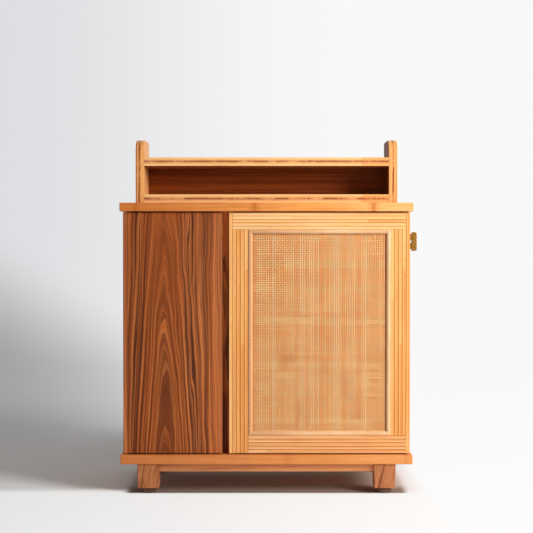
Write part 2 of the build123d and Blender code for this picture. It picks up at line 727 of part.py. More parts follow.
def cane_door_rail_bottom():
    """The bottom rail: its face starts at the left stile and passes over the right one."""
    face = block((SIGHT_LEFT, FRAME_RIGHT), FACE_LAYER, (DOOR_BOTTOM, SIGHT_BOTTOM))
    back = block((FRAME_LEFT, LIP_RIGHT), BACK_LAYER, (DOOR_BOTTOM, LIP_BOTTOM))
    cuts = rail_grooves(DOOR_BOTTOM, SIGHT_BOTTOM, SIGHT_LEFT, FRAME_RIGHT)
    cuts += [
        v_groove_level(SIGHT_BOTTOM, SIGHT_RIGHT, FRAME_RIGHT),
        v_groove_upright(SIGHT_LEFT, DOOR_BOTTOM, SIGHT_BOTTOM),
        v_groove_upright(FRAME_RIGHT, DOOR_BOTTOM, SIGHT_BOTTOM),
    ]
    return cut_by(face + back, CANE_CUTS + cuts)


def cane_backing_panel():
    """The thin panel behind the cane, seated on the lip."""
    return block(
        (SIGHT_LEFT, SIGHT_RIGHT),
        (REBATE_FLOOR - BACKING_THICKNESS, REBATE_FLOOR),
        (SIGHT_BOTTOM, SIGHT_TOP),
    )


CANE_BACK = REBATE_FLOOR - BACKING_THICKNESS
CANE_FRONT = CANE_BACK - CANE_THICKNESS


def cane_panel():
    """The cane as one holed sheet, its rim under the bead."""
    width, height = LIP_RIGHT - LIP_LEFT, LIP_TOP - LIP_BOTTOM
    pitch_x, pitch_z = width / CANE_GAPS[0], height / CANE_GAPS[1]
    gaps = GridLocations(pitch_x, pitch_z, *CANE_GAPS) * Rectangle(
        pitch_x * CANE_OPEN, pitch_z * CANE_OPEN
    )
    rim = Rectangle(SIGHT_RIGHT - SIGHT_LEFT, SIGHT_TOP - SIGHT_BOTTOM)
    middle_x, middle_z = (LIP_LEFT + LIP_RIGHT) / 2, (LIP_BOTTOM + LIP_TOP) / 2
    sheet = Plane((middle_x, CANE_BACK, middle_z), x_dir=(1, 0, 0), z_dir=(0, -1, 0)) * (rim - gaps)
    return extrude(sheet, CANE_THICKNESS, dir=(0, -1, 0))


def bead_outline():
    """Section of the bead: flat on the cane and against the frame, crowned at the front."""
    depth = CANE_FRONT - DOOR_FRONT
    wall, inner = (0, depth - BEAD_DROP), (BEAD_WIDTH, BEAD_EDGE)
    crown = (BEAD_WIDTH * BEAD_CROWN, depth + BEAD_PROUD)
    return make_face(
        [
            Line((0, 0), wall),
            ThreePointArc(wall, crown, inner),
            Line(inner, (BEAD_WIDTH, 0)),
            Line((BEAD_WIDTH, 0), (0, 0)),
        ]
    )


def bead(along, start, end, inward):
    """A length of bead from start to end, with both ends mitred; inward points to the cane."""
    length = (end - start).length
    strip = extrude(Plane(end, x_dir=inward, z_dir=-Vector(*along)) * bead_outline(), length)
    middle = start + (end - start) * 0.5
    half = length / 2
    cutter_plane = Plane(middle, x_dir=along, z_dir=(0, -1, 0))
    side = 1 if cutter_plane.y_dir.dot(Vector(*inward)) > 0 else -1
    wedge = make_face(
        Polyline((-half, 0), (half, 0), (half - BEAD_WIDTH, side * BEAD_WIDTH),
                 (-half + BEAD_WIDTH, side * BEAD_WIDTH), close=True)
    )
    return strip & extrude(cutter_plane * wedge, 2 * PANEL, both=True)


def beads():
    """The four lengths of bead, mitred at the corners."""
    y = CANE_FRONT
    low_left, low_right = Vector(SIGHT_LEFT, y, SIGHT_BOTTOM), Vector(SIGHT_RIGHT, y, SIGHT_BOTTOM)
    top_left, top_right = Vector(SIGHT_LEFT, y, SIGHT_TOP), Vector(SIGHT_RIGHT, y, SIGHT_TOP)
    return {
        "bead_left": bead((0, 0, 1), low_left, top_left, (1, 0, 0)),
        "bead_right": bead((0, 0, -1), top_right, low_right, (-1, 0, 0)),
        "bead_top": bead((1, 0, 0), top_left, top_right, (0, 0, -1)),
        "bead_bottom": bead((-1, 0, 0), low_right, low_left, (0, 0, 1)),
    }


# ---- edge pull ----
STUD_RADIUS = 2.0
STUD_IN_DOOR = 18.0
STUD_IN_GRIP = 4.0
PULL_MIDDLE_Y = (DOOR_FRONT + DOOR_BACK) / 2


def pull_studs():
    """Two studs that hold the pull to the edge of the door."""
    spacing = (PULL_BASE_HEIGHT + PULL_NOTCH) / 4
    length = STUD_IN_DOOR + PULL_POST + STUD_IN_GRIP
    stud = Cylinder(STUD_RADIUS, length, align=(Align.CENTER, Align.CENTER, Align.MIN))
    return [
        Pos(BODY - STUD_IN_DOOR, PULL_MIDDLE_Y, PULL_CENTRE + side * spacing) * Rot(0, 90, 0) * stud
        for side in (-1, 1)
    ]


def edge_pull():
    """A cast pull: two short posts on the edge of the door under a rounded grip."""
    grip = block(
        (BODY + PULL_POST, BODY + PULL_POST + PULL_GRIP),
        (PULL_MIDDLE_Y - PULL_THICKNESS / 2, PULL_MIDDLE_Y + PULL_THICKNESS / 2),
        (PULL_CENTRE - PULL_HEIGHT / 2, PULL_CENTRE + PULL_HEIGHT / 2),
    )
    outer = grip.edges().filter_by(Axis.Y).group_by(Axis.X)[-1]
    grip = fillet(outer, GRIP_OUTER_ROUND)
    grip = fillet(grip.edges().filter_by(Axis.Y).group_by(Axis.X)[0], GRIP_SMALL_ROUND)
    by_depth = grip.edges().group_by(Axis.Y)
    grip = fillet(by_depth[0] + by_depth[-1], GRIP_RIM)
    half, notch = PULL_BASE_HEIGHT / 2, PULL_NOTCH / 2
    for low, high in ((-half, -notch), (notch, half)):
        post = block(
            (BODY, BODY + PULL_POST + PULL_POST_SUNK),
            (PULL_MIDDLE_Y - PULL_POST_THICKNESS / 2, PULL_MIDDLE_Y + PULL_POST_THICKNESS / 2),
            (PULL_CENTRE + low, PULL_CENTRE + high),
        )
        grip = grip + fillet(post.edges().filter_by(Axis.X), GRIP_SMALL_ROUND)
    return cut_by(grip, pull_studs())


# ---- the nodes ----
NODES = {
    "top_board": top_board(),
    "base_board": base_board(),
    "side_panel_left": side_panel_left(),
    "side_panel_right": side_panel_right(),
    "centre_divider": centre_divider(),
    "back_panel": back_panel(),
    "shelf_left": shelf(-INSIDE, DIVIDER_MIDDLE - PANEL / 2),
    "shelf_right": shelf(DIVIDER_MIDDLE + PANEL / 2, INSIDE),
    "gallery_side_left": gallery_side_left(),
    "gallery_side_right": gallery_side_right(),
    "gallery_lower_shelf": gallery_shelf(TOP_TOP),
    "gallery_upper_shelf": gallery_shelf(UPPER_SHELF_UNDER),
    "gallery_back_panel": gallery_back_panel(),
    "catch_walnut_door": catch(WALNUT_CATCH),
    "catch_cane_door": catch(CANE_CATCH),
    "strike_walnut_door": strike(WALNUT_CATCH),
    "strike_cane_door": strike(CANE_CATCH),
    "walnut_door_panel": walnut_door_panel(),
    "walnut_lipping_left": walnut_lipping_left(),
    "walnut_lipping_right": walnut_lipping_right(),
    "cane_door_edge_strip_left": cane_door_edge_strip_left(),
    "cane_door_edge_strip_right": cane_door_edge_strip_right(),
    "cane_door_stile_left": cane_door_stile_left(),
    "cane_door_stile_right": cane_door_stile_right(),
    "cane_door_rail_top": cane_door_rail_top(),
    "cane_door_rail_bottom": cane_door_rail_bottom(),
    "cane_backing_panel": cane_backing_panel(),
    "cane_panel": cane_panel(),
    "edge_pull": edge_pull(),
    "pull_studs": Compound(children=pull_studs()),
    "shelf_pins": Compound(children=shelf_pins()),
    "back_panel_screws": Compound(
        children=[place * wood_screw(BACK_SCREW_LENGTH) for place in back_screw_places()]
    ),
    "leg_bolts": Compound(children=leg_bolts()),
    "gallery_dowels": Compound(children=gallery_dowels()),
    "foot_pads": Compound(children=[foot_pad(x, y) for x, y in leg_bolt_places()]),
    "foot_pad_screws": Compound(children=foot_pad_screws()),
}
NODES.update(APRONS)
NODES.update(beads())

CORNERS = {
    "front_left": (-1, -1),
    "front_right": (1, -1),
    "rear_left": (-1, 1),
    "rear_right": (1, 1),
}
for corner, (along_x, along_y) in CORNERS.items():
    NODES["leg_" + corner] = leg(along_x * LEG_X, along_y * LEG_Y)

for end, hinge in HINGES.items():
    NODES["hinge_plate_" + end] = hinge["plate"]
    NODES["hinge_leaf_" + end] = hinge["leaf"]
NODES["hinge_washers"] = Compound(children=[hinge["washer"] for hinge in HINGES.values()])
NODES["hinge_screws_carcass"] = Compound(
    children=[screw for hinge in HINGES.values() for screw in hinge["plate_screws"]]
)
for door in ("walnut", "cane"):
    screws = [HINGES[door + end]["door_screws"] for end in ("_top", "_bottom")]
    NODES["hinge_screws_" + door + "_door"] = Compound(children=screws[0] + screws[1])

os.makedirs("parts", exist_ok=True)
for name, shape in NODES.items():
    export_step(shape, os.path.join("parts", name + ".step"))
print(len(NODES), "nodes")
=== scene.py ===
import math

import bpy
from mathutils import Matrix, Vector


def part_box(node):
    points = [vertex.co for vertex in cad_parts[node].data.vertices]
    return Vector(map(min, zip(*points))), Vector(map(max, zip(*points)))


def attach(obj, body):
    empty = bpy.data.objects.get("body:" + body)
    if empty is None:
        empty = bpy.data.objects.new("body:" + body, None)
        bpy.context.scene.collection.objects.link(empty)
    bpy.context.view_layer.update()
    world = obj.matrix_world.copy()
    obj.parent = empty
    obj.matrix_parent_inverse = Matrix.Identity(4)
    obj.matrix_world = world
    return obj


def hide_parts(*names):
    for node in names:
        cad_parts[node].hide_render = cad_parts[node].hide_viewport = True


# A small cabinet on four short legs: a walnut door, a framed cane door and a low open gallery.
# Metres, +Z up, the doors face -Y, the origin on the floor at the middle of the footprint.

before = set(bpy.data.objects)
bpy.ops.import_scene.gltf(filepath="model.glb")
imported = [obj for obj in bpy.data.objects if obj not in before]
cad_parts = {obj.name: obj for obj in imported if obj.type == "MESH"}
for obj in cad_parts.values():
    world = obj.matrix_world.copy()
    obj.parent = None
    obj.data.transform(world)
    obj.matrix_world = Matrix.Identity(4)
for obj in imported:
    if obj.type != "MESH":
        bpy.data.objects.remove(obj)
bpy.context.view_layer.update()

MM = 0.001

# ---- camera and light ----
CAMERA_PLACE = (0.0, -2.86, 0.5888)
CAMERA_TILT = 0.94               # degrees below level
LENS = 76.63
SENSOR = 36.0

KEY_PLACE = (1.82, -1.38, 1.32)
KEY_AIM = (0.0, -0.1, 0.42)
KEY_SIZE = 0.9
KEY_POWER = 63.0
KEY_COLOUR = (1.0, 0.985, 0.955)
WORLD_LEVEL = 0.27
ROOM_WHITE = (248, 248, 249)     # what the camera and the brass see of the room

# ---- the cane ----
COLUMN_PITCH = 5.43 * MM
ROW_PITCH = 5.29 * MM
STRAND_WIDTH = 3.2 * MM
STRAND_THICKNESS = 0.56 * MM
STRAND_LIFT = 0.33 * MM          # from the middle plane to the middle of a strand at a crossing
STRAND_REST = 0.25               # share of a pitch that a strand stays level each side of a crossing
CANE_COLUMNS = 62
CANE_ROWS = 92
CANE_WANDER = 1.3 * MM
WANDER_SIZES = {"X": 0.055, "Z": 0.043}
CANE_TOP_BEAD_SHADOW = (0.6185, 0.6225)     # z, where painted shade, the bead's shadow, darkens the cane up to its top edge
CANE_RIGHT_BEAD_SHADOW = (0.2825, 0.2865)   # x, the same painted shade along its right edge
HEXAGON_FLATS = 0.866            # a six-sided strand's thickness, by its width over the corners
SMOOTH_ANGLE = math.radians(50)


def tone(red, green, blue):
    """An sRGB colour, 0 to 255, as the linear colour that a shader takes."""
    linear = []
    for channel in (red, green, blue):
        share = channel / 255
        linear.append(share / 12.92 if share <= 0.04045 else ((share + 0.055) / 1.055) ** 2.4)
    return (*linear, 1.0)


class Wire:
    """A number on its way through a tree's nodes. Sums with it add Math nodes."""

    def __init__(self, nodes, socket):
        self.nodes = nodes
        self.socket = socket

    def __add__(self, other):
        return self.nodes.math("ADD", self, other)

    def __sub__(self, other):
        return self.nodes.math("SUBTRACT", self, other)

    def __mul__(self, other):
        return self.nodes.math("MULTIPLY", self, other)

    def __truediv__(self, other):
        return self.nodes.math("DIVIDE", self, other)

    def __rsub__(self, other):
        return self.nodes.math("SUBTRACT", other, self)

    __radd__ = __add__
    __rmul__ = __mul__


class Nodes:
    """The nodes of a material or of the room's light."""

    def __init__(self, tree):
        self.tree = tree

    def plug(self, socket, value):
        if isinstance(value, Wire):
            self.tree.links.new(value.socket, socket)
        else:
            socket.default_value = value

    def node(self, kind, settings, sockets, output=0):
        """Adds a node, sets its settings, fills its sockets by name or number, and gives an output."""
        made = self.tree.nodes.new("ShaderNode" + kind)
        for key, value in settings.items():
            if key == "stops":
                ramp = made.color_ramp
                for spare in range(len(value) - 2):
                    ramp.elements.new(0.5)
                for element, (place, colour) in zip(ramp.elements, value):
                    element.position = place
                    element.color = colour
            else:
                setattr(made, key, value)
        for key, value in sockets.items():
            self.plug(made.inputs[key], value)
        return Wire(self, made.outputs[output])

    def math(self, operation, *values):
        return self.node("Math", {"operation": operation}, dict(enumerate(values)))

    def place(self):
        """The object coordinates, as three numbers by axis."""
        spot = self.node("TexCoord", {}, {}, "Object")
        return {axis: self.node("SeparateXYZ", {}, {0: spot}, axis) for axis in "XYZ"}

    def point(self, x, y, z):
        return self.node("CombineXYZ", {}, {0: x, 1: y, 2: z})

    def noise(self, vector, scale, detail, roughness):
        return self.node(
            "TexNoise", {}, {"Vector": vector, "Scale": scale, "Detail": detail, "Roughness": roughness}
        )

    def grain(self, spot, scales, detail, roughness):
        """Noise with its own scale along each of the three directions of spot."""
        stretched = [place * scale for place, scale in zip(spot, scales)]
        return self.noise(self.point(*stretched), 1.0, detail, roughness)

    def chance(self, x, y, z=0.0):
        """A steady random number for each whole place."""
        return self.node("TexWhiteNoise", {}, {"Vector": self.point(x, y, z)})

    def ease(self, value, start, end, low=0.0, high=1.0):
        """A smooth step from low to high as the value goes from start to end."""
        return self.node(
            "MapRange",
            {"interpolation_type": "SMOOTHSTEP"},
            {0: value, 1: start, 2: end, 3: low, 4: high},
        )

    def mix(self, share, under, over):
        return self.node("Mix", {"data_type": "RGBA"}, {0: share, 6: under, 7: over}, 2)

    def ramp(self, value, *stops):
        return self.node("ValToRGB", {"stops": stops}, {0: value})

    def relief(self, height, depth, strength):
        return self.node("Bump", {}, {"Height": height, "Distance": depth, "Strength": strength})


class Finish(Nodes):
    """A material: its shader and the nodes that feed it."""

    def __init__(self, name, **fixed):
        self.material = bpy.data.materials.new(name)
        self.material.use_nodes = True
        super().__init__(self.material.node_tree)
        self.shader = self.tree.nodes["Principled BSDF"]
        for socket, value in fixed.items():
            self.shader.inputs[socket.replace("_", " ")].default_value = value

    def feed(self, **sockets):
        for socket, value in sockets.items():
            self.plug(self.shader.inputs[socket.replace("_", " ")], value)
        return self.material


# ---- woods ----
GOLDEN = 0.618                   # spreads what differs from strip to strip
WOOD_GLOSS = 0.25
DULL = 0.15                      # walnut and the stained panels
JOINT_DEPTHS = (1.0 * MM, 1.6 * MM)   # a grooved joint fades from dark between these depths


def bamboo(
    name, along, across, origin, strip, colours, mark_at=0.0, mark_step=0.283, length=0.9,
    joint=0.35, joint_width=0.3 * MM, contrast=1.0, marks=1.0, strip_highlight=0.0, painted_side_shade=0.0,
    amber_run=None, scatter=0.0, face=None,
):
    """Bamboo board: narrow strips with their own tints, fine fibres and the marks of its nodes.

    colours are pale, honey, amber and mark; strips lie side by side from origin. painted_side_shade is
    how much painted shade deepens the colour to the left, with painted light paling it to the right,
    amber_run is a deep strip: its row and its start, scatter moves the marks of each strip by chance,
    and face is the grooved face, where joints are dark."""
    pale, honey, amber, mark = [tone(*colour) for colour in colours]
    finish = Finish(name, Specular_IOR_Level=WOOD_GLOSS)
    place = finish.place()
    run = place[along]
    side = place[across]
    through = place[next(axis for axis in "XYZ" if axis not in (along, across))]
    spot = (run, side, through)
    lane = (side - origin) / strip
    row = finish.math("FLOOR", lane)
    shift = row * GOLDEN
    cut = finish.math("FLOOR", run / length + shift)
    tint = finish.chance(row, cut)
    streaks = finish.grain(spot, (5, 210, 210), 3.0, 0.6)
    fibres = finish.grain(spot, (26, 1500, 1500), 2.0, 0.6)
    clouds = finish.grain(spot, (4, 14, 14), 2.0, 0.5)
    wobble = finish.grain(spot, (8, 240, 240), 2.0, 0.5)
    turns = (run - mark_at) / mark_step + (row + 8.0) * GOLDEN + 0.5
    if scatter:
        turns = turns + finish.chance(row, 4.0) * scatter
    away = finish.math("ABSOLUTE", finish.math("FRACT", turns) - 0.5) * mark_step
    band = finish.ease(away + (wobble - 0.5) * 0.008, 0.0008, 0.0065, 1.0, 0.0) * marks
    halo = finish.ease(away + (wobble - 0.5) * 0.02, 0.002, 0.02, 1.0, 0.0) * marks
    across_strip = finish.math("FRACT", lane)
    edge = finish.math("ABSOLUTE", across_strip - 0.5)
    seam = finish.ease(edge, 0.5 - joint_width / strip, 0.5, 0.0, 1.0)
    # painted highlight along one side of each strip, where its bevel would catch the light
    painted_highlight = finish.ease(finish.math("ABSOLUTE", across_strip - 0.3), 0.0, 0.22, strip_highlight, 0.0)
    if face is not None:
        shallow, deep = JOINT_DEPTHS
        seam = seam * finish.ease(through, face + shallow, face + deep, 1.0, 0.15)
    colour = finish.mix(finish.ease(tint * 0.6 + clouds * 0.5, 0.2, 0.85), pale, honey)
    darker = finish.ease(streaks, 0.42, 0.72) * (0.55 * contrast)
    colour = finish.mix(darker, colour, amber)
    colour = finish.mix(finish.ease(fibres, 0.5, 0.75) * (0.35 * contrast), colour, amber)
    colour = finish.mix(painted_highlight, colour, pale)
    # painted shade deepens the colour to the left, and painted light pales it to the right
    if painted_side_shade:
        colour = finish.mix(finish.ease(place["X"], 0.1, -0.32, 0.0, painted_side_shade), colour, amber)
        colour = finish.mix(finish.ease(place["X"], 0.1, 0.3, 0.0, painted_side_shade * 0.6), colour, pale)
    if amber_run:
        amber_row, start = amber_run
        in_row = finish.ease(finish.math("ABSOLUTE", row - amber_row), 0.2, 0.6, 0.75, 0.0)
        past = finish.ease(run, start, start + 1.5 * MM)
        colour = finish.mix(in_row * past, colour, amber)
    colour = finish.mix(seam * (0.5 + clouds * 0.9) * joint, colour, mark)
    colour = finish.mix(halo * 0.5, colour, amber)
    colour = finish.mix(band * (0.25 + wobble * 0.5), colour, mark)
    height = fibres * 0.7 + streaks * 0.3 + band * 0.6
    return finish.feed(
        Base_Color=colour,
        Roughness=0.44 + fibres * 0.16 - band * 0.08,
        Normal=finish.relief(height, 0.18 * MM, 0.35),
    )


PLY_LANE = 0.021
PLY_LENGTH = 0.7
# the tone of the painted shade on the gallery's inner faces and under its upper shelf
PLY_SHADE_TONE = (126, 56, 20)


def bamboo_ply(
    name, along, across, through, start, thickness, layers, colours, painted_shade_faces=(0.0, 0.0)
):
    """Bamboo ply: long fibres on its faces, and the lines of its layers on its edges.

    layers are (centre, half width, strength, how broken), by share of the thickness;
    painted_shade_faces is how strongly painted shade darkens the low and the high face, for the shade
    inside the gallery."""
    pale, honey, amber, core = [tone(*colour) for colour in colours]
    finish = Finish(name, Specular_IOR_Level=WOOD_GLOSS)
    place = finish.place()
    run, side, depth = place[along], place[across], place[through]
    spot = (run, side, depth)
    layer = (depth - start) / thickness
    row = finish.math("FLOOR", side / PLY_LANE)
    tint = finish.chance(row, finish.math("FLOOR", run / PLY_LENGTH + row * GOLDEN), 3.0)
    streaks = finish.grain(spot, (5, 230, 330), 3.0, 0.6)
    fibres = finish.grain(spot, (30, 1600, 1600), 2.0, 0.6)
    specks = finish.grain(spot, (210, 210, 320), 2.0, 0.6)
    patches = finish.grain(spot, (23, 23, 5), 1.0, 0.5)
    wander = (finish.grain((run, side, 0.0), (30, 30, 1), 1.0, 0.5) - 0.5) * 0.1
    on_edge = finish.ease(finish.math("ABSOLUTE", layer - 0.5), 0.43, 0.485, 1.0, 0.0)
    colour = finish.mix(finish.ease(tint * 0.5 + streaks * 0.6, 0.3, 0.9), pale, honey)
    colour = finish.mix(finish.ease(streaks, 0.5, 0.8) * 0.45, colour, amber)
    colour = finish.mix(finish.ease(fibres, 0.5, 0.75) * 0.3, colour, amber)
    marks = 0.0
    for centre, half, strength, gaps in layers:
        off = finish.math("ABSOLUTE", layer - centre + wander)
        line = finish.ease(off, half * 0.45, half, strength, 0.0) * on_edge
        soft = finish.ease(off, half * 0.5, half * 2.2, 0.45 * strength, 0.0) * on_edge
        kept = finish.ease(specks * 0.5 + patches * 0.65, 0.45, 0.62, 1.0 - gaps, 1.0)
        colour = finish.mix(soft, colour, amber)
        colour = finish.mix(line * kept, colour, core)
        marks = line * kept + marks
    # painted shade on the low and the high face, for the shade inside the gallery
    low_face_shade, high_face_shade = painted_shade_faces
    face_shade = finish.ease(layer, 0.0, 0.03, low_face_shade, 0.0)
    face_shade = face_shade + finish.ease(layer, 0.97, 1.0, 0.0, high_face_shade)
    colour = finish.mix(face_shade, colour, tone(*PLY_SHADE_TONE))
    return finish.feed(
        Base_Color=colour,
        Roughness=0.45 + fibres * 0.15,
        Normal=finish.relief(fibres * 0.6 + streaks * 0.3 - marks, 0.2 * MM, 0.35),
    )


WALNUT_BANDS = (
    (0.34, (80, 34, 12)),
    (0.44, (126, 58, 22)),
    (0.53, (168, 85, 36)),
    (0.63, (230, 132, 64)),
)
WALNUT_HEART = (172, 86, 40)
WALNUT_LIGHTER = (206, 122, 70)
WALNUT_WARM = (200, 104, 44)
WALNUT_SHADE = (104, 50, 22)
WALNUT_LINE = (76, 32, 12)
WALNUT_GLEAM = (236, 150, 88)
WALNUT_STREAK = (58, 24, 9)
WALNUT_PALE = (206, 128, 82)
WALNUT_PORE = (66, 32, 17)


def walnut(name, heart, turn=0.0, level=1.0, across="X"):
    """Walnut with upright grain: a slim flame about the heart, dark streaks and short pores.

    turn picks another stretch of the figure, level lightens it, and across is the way that the
    piece's width runs."""
    finish = Finish(name, Specular_IOR_Level=DULL)
    place = finish.place()
    x, y, z = place[across], place["Y" if across == "X" else "X"], place["Z"]
    spot = (x, y, z)
    drift = finish.grain(spot, (6, 6, 1.7), 2.0, 0.5) - 0.5
    waves = finish.grain(spot, (26, 26, 5), 2.0, 0.55) - 0.5
    off = x - heart + drift * 0.02 + waves * 0.007
    away = finish.math("ABSOLUTE", off)
    taper = finish.ease(away, 0.01, 0.11, 0.06, 0.014)
    ring = finish.math("SQRT", off * off + 0.0003) + z * taper + waves * 0.012 + turn
    bands = finish.grain((ring, y, z), (105, 10, 0.4), 4.0, 0.66)
    wide = finish.noise(finish.point(ring * 27 + 7.0, y * 6, z * 0.5), 1.0, 2.0, 0.5)
    fine = finish.grain((ring, y, z), (380, 120, 1.6), 3.0, 0.65)
    lines = finish.noise(finish.point(ring * 230 + 31.0, y * 60, z * 1.1), 1.0, 2.0, 0.6)
    pores = finish.grain(spot, (1500, 1500, 34), 2.0, 0.6)
    streaky = finish.ease(finish.math("ABSOLUTE", off - 0.07), 0.008, 0.045, 1.0, 0.45)
    streaky = finish.math("MAXIMUM", streaky, finish.ease(off, -0.03, -0.055, 0.45, 0.95))
    colour = finish.ramp(
        bands,
        *((stop, tone(*(channel * level for channel in shade))) for stop, shade in WALNUT_BANDS),
    )
    middle = finish.ease(away, 0.002, 0.03, 0.4, 0.0)
    lighter = finish.ease(finish.math("ABSOLUTE", off - 0.07), 0.012, 0.045, 0.42, 0.0)
    for share, shade in (
        (middle, WALNUT_HEART),
        (lighter, WALNUT_LIGHTER),
        (finish.ease(wide, 0.48, 0.66) * 0.4, WALNUT_WARM),
        (finish.ease(wide, 0.34, 0.48, 0.5, 0.0), WALNUT_SHADE),
        (finish.ease(fine, 0.5, 0.64) * 0.7, WALNUT_LINE),
        (finish.ease(fine, 0.34, 0.48, 0.42, 0.0), WALNUT_GLEAM),
        (finish.ease(lines, 0.48, 0.57) * streaky * 0.85, WALNUT_STREAK),
        (finish.ease(off, 0.1, 0.13) * 0.28, WALNUT_PALE),
        (finish.ease(pores, 0.56, 0.7) * 0.42, WALNUT_PORE),
    ):
        colour = finish.mix(share, colour, tone(*shade))
    return finish.feed(
        Base_Color=colour,
        Roughness=0.5 + pores * 0.18 - bands * 0.08,
        Normal=finish.relief(0.6 - pores * 0.8 + fine * 0.3, 0.22 * MM, 0.35),
    )


def leg_wood(name, along, lean, colours, streak=None):
    """A streaky mid-brown hardwood, its grain leaning a little off the length of the piece.

    streak is a dark leaning streak: its x at the floor, its lean and its half width."""
    light, middle, dark = [tone(*colour) for colour in colours]
    finish = Finish(name, Specular_IOR_Level=WOOD_GLOSS)
    place = finish.place()
    x, y, z = place["X"], place["Y"], place["Z"]
    if along == "Z":
        run, side, deep = z, x - z * lean, y - z * (lean * 0.6)
    elif along == "X":
        run, side, deep = x, z - x * lean, y
    else:
        run, side, deep = y, z - y * lean, x
    drift = finish.grain((run, side, deep), (9, 12, 12), 2.0, 0.5) - 0.5
    across = side + drift * 0.02
    bands = finish.grain((run, across, deep), (2.2, 88, 70), 3.0, 0.6)
    fine = finish.grain((run, across, deep), (12, 620, 620), 3.0, 0.6)
    pores = finish.grain((run, side, deep), (60, 1700, 1700), 2.0, 0.6)
    colour = finish.mix(finish.ease(bands, 0.34, 0.58), middle, light)
    colour = finish.mix(finish.ease(bands, 0.28, 0.42, 0.85, 0.0), colour, dark)
    colour = finish.mix(finish.ease(fine, 0.5, 0.72) * 0.4, colour, dark)
    colour = finish.mix(finish.ease(pores, 0.58, 0.72) * 0.3, colour, dark)
    if streak:
        foot, slant, half = streak
        off = finish.math("ABSOLUTE", x - foot - z * slant + drift * 0.004)
        mark = finish.ease(off + fine * half * 0.8, half * 0.6, half * 1.5, 0.75, 0.0)
        colour = finish.mix(mark, colour, dark)
    return finish.feed(
        Base_Color=colour,
        Roughness=0.48 + pores * 0.16,
        Normal=finish.relief(0.5 - pores * 0.6 + fine * 0.3, 0.2 * MM, 0.35),
    )


BEAD_TONES = ((242, 198, 152), (228, 176, 128))
BEAD_FIBRE = (200, 140, 94)
BEAD_LEFT_SHADE = (206, 150, 104)      # painted shade on the bead's left


def pale_bead(name, along):
    """The sanded pale bead round the cane: fine, faint grain, and painted shade that darkens it towards
    its left.
    """
    finish = Finish(name, Specular_IOR_Level=WOOD_GLOSS)
    place = finish.place()
    run = place[along]
    side = place["X" if along == "Z" else "Z"]
    spot = (run, side, place["Y"])
    fibres = finish.grain(spot, (16, 900, 900), 3.0, 0.6)
    patches = finish.grain(spot, (14, 60, 60), 2.0, 0.5)
    pale, warm = BEAD_TONES
    colour = finish.mix(finish.ease(patches, 0.3, 0.7), tone(*pale), tone(*warm))
    colour = finish.mix(finish.ease(fibres, 0.5, 0.8) * 0.4, colour, tone(*BEAD_FIBRE))
    # painted shade, darker towards the left
    colour = finish.mix(finish.ease(place["X"], 0.12, -0.04, 0.1, 0.8), colour, tone(*BEAD_LEFT_SHADE))
    return finish.feed(
        Base_Color=colour,
        Roughness=0.46 + fibres * 0.14,
        Normal=finish.relief(fibres, 0.12 * MM, 0.3),
    )


CANE_GLOSS = 0.35
CANE_PALE = (255, 212, 144)
CANE_HONEY = (248, 160, 86)
CANE_RIPE = (206, 112, 54)
CANE_BRIGHT = (255, 240, 202)
CANE_FIBRE = (176, 104, 58)
# the tone of the painted shade along each strand's edges
CANE_EDGE_SHADE = (136, 58, 18)
# the tone of the painted shade that stands for the bead's shadow on the cane
CANE_BEAD_SHADOW = (96, 44, 18)


def woven_cane(name, along, first, pitch):
    """Split cane: every strand has its own tint, painted shade along its edges and fine lines along its
    glossy skin.

    Some uprights are bright all along, and the level strands are bright in places and look slim where
    their painted edge shade widens. The bead's shadow is painted along the top and right edges."""
    finish = Finish(name, Specular_IOR_Level=CANE_GLOSS)
    place = finish.place()
    x, z = place["X"], place["Z"]
    run = place[along]
    side = x if along == "Z" else z
    lane = (side - first) / pitch + 0.5
    strand = finish.math("FLOOR", lane)
    tint = finish.chance(strand, 1.0 if along == "Z" else 2.0)
    if along == "Z":
        bright = finish.ease(finish.chance(strand, 5.0), 0.62, 0.85, 0.0, 0.35)
        slim = 0.0
    else:
        patchy = finish.grain((strand, run, 9.0), (3.7, 8, 1), 2.0, 0.6)
        bright = finish.ease(patchy, 0.52, 0.7, 0.0, 0.18)
        # where the painted shade along the level strands' edges widens
        thin = finish.grain((strand, run, 17.0), (5.1, 10, 1), 2.0, 0.6)
        slim = finish.ease(thin, 0.5, 0.66, 0.0, 0.1)
    lengths = finish.grain((strand, run, 0.0), (3.7, 30, 1), 2.0, 0.6)
    fibres = finish.grain((side, run, 0.0), (2600, 60, 1), 2.0, 0.6)
    patches = finish.grain((x, z, 0.0), (17, 17, 1), 3.0, 0.6)
    edge = finish.math("ABSOLUTE", finish.math("FRACT", lane) - 0.5)
    # painted shade along each strand's edges, where it turns away towards the holes
    edge_shade = finish.ease(edge + slim, 0.17, 0.3)
    honey = finish.ease(tint * 0.4 + lengths * 0.8, 0.3, 0.85)
    colour = finish.mix(honey, tone(*CANE_PALE), tone(*CANE_HONEY))
    colour = finish.mix(finish.ease(patches, 0.45, 0.7) * 0.3, colour, tone(*CANE_RIPE))
    colour = finish.mix(bright, colour, tone(*CANE_BRIGHT))
    colour = finish.mix(finish.ease(fibres, 0.5, 0.75) * 0.25, colour, tone(*CANE_FIBRE))
    colour = finish.mix(edge_shade * 0.85, colour, tone(*CANE_EDGE_SHADE))
    # painted shade: the bead's shadow, darkening the cane along its top and right edges
    painted_shade = finish.math(
        "MAXIMUM", finish.ease(z, *CANE_TOP_BEAD_SHADOW), finish.ease(x, *CANE_RIGHT_BEAD_SHADOW)
    )
    colour = finish.mix(painted_shade * 0.7, colour, tone(*CANE_BEAD_SHADOW))
    return finish.feed(
        Base_Color=colour,
        Roughness=0.38 + fibres * 0.2,
        Normal=finish.relief(fibres, 0.08 * MM, 0.4),
    )


